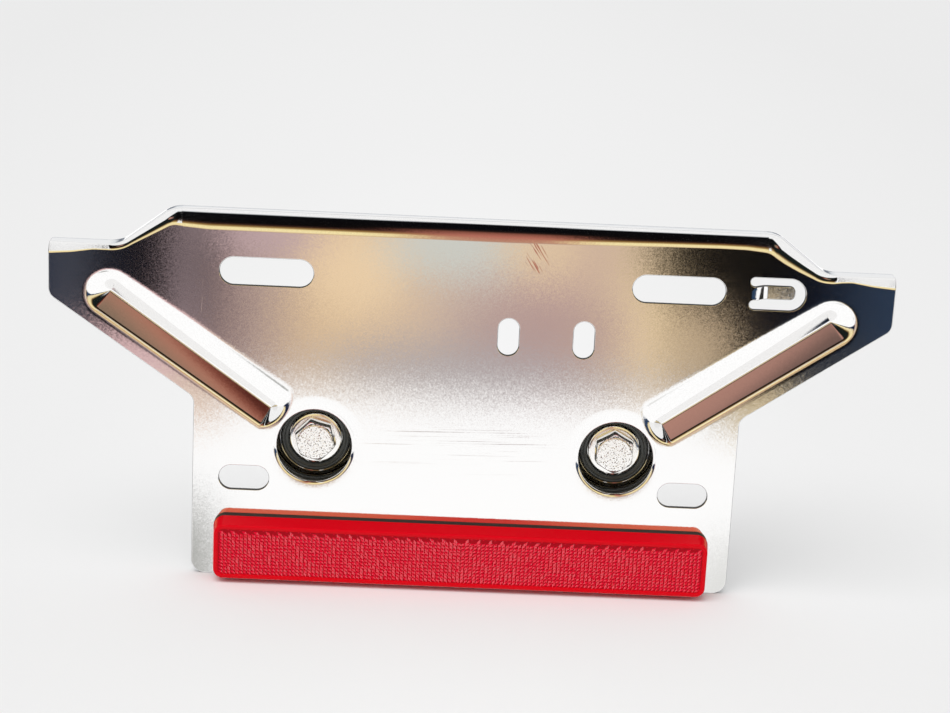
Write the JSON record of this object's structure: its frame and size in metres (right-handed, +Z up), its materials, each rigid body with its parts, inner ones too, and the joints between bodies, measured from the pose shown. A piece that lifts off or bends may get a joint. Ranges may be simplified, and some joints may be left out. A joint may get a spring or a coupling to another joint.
{
  "type": "motorcycle number plate bracket",
  "caption": "Chromed pressed-steel number plate bracket with swept top flange, slotted holes, rubber-mounted bolts in deep cups and a long red reflector.",
  "frame": {"origin": "midway between the two frame bolts, on the plane of the collars' rear ends, which is where the bracket meets the motorcycle", "axes": "+X along the bracket's width, to the right as seen from its face; +Z up; +Y along the frame bolts, out of the bracket's back, so its face looks along -Y"},
  "size_m": [0.2748, 0.0409, 0.1237],
  "materials": {
    "chromed_sheet": "bright chrome plating with a fine orange-peel texture and light scuffs",
    "bolt_steel": "bright plated, slightly speckled",
    "collar_steel": "bright turned steel",
    "black_rubber": "smooth, semi-gloss",
    "red_lens": "glossy transparent red with a prism pattern behind its face",
    "dark_backing": "dark satin",
    "stud_steel": "zinc plated"
  },
  "bodies": {
    "root": {"bracket": "chromed_sheet", "left_bolt": "bolt_steel", "right_bolt": "bolt_steel", "left_collar": "collar_steel", "right_collar": "collar_steel", "left_grommet": "black_rubber", "right_grommet": "black_rubber", "reflector_lens": "red_lens", "reflector_backing": "dark_backing", "left_stud": "stud_steel", "right_stud": "stud_steel", "left_stud_washer": "stud_steel", "right_stud_washer": "stud_steel", "left_stud_nut": "stud_steel", "right_stud_nut": "stud_steel"}
  },
  "joints": []
}
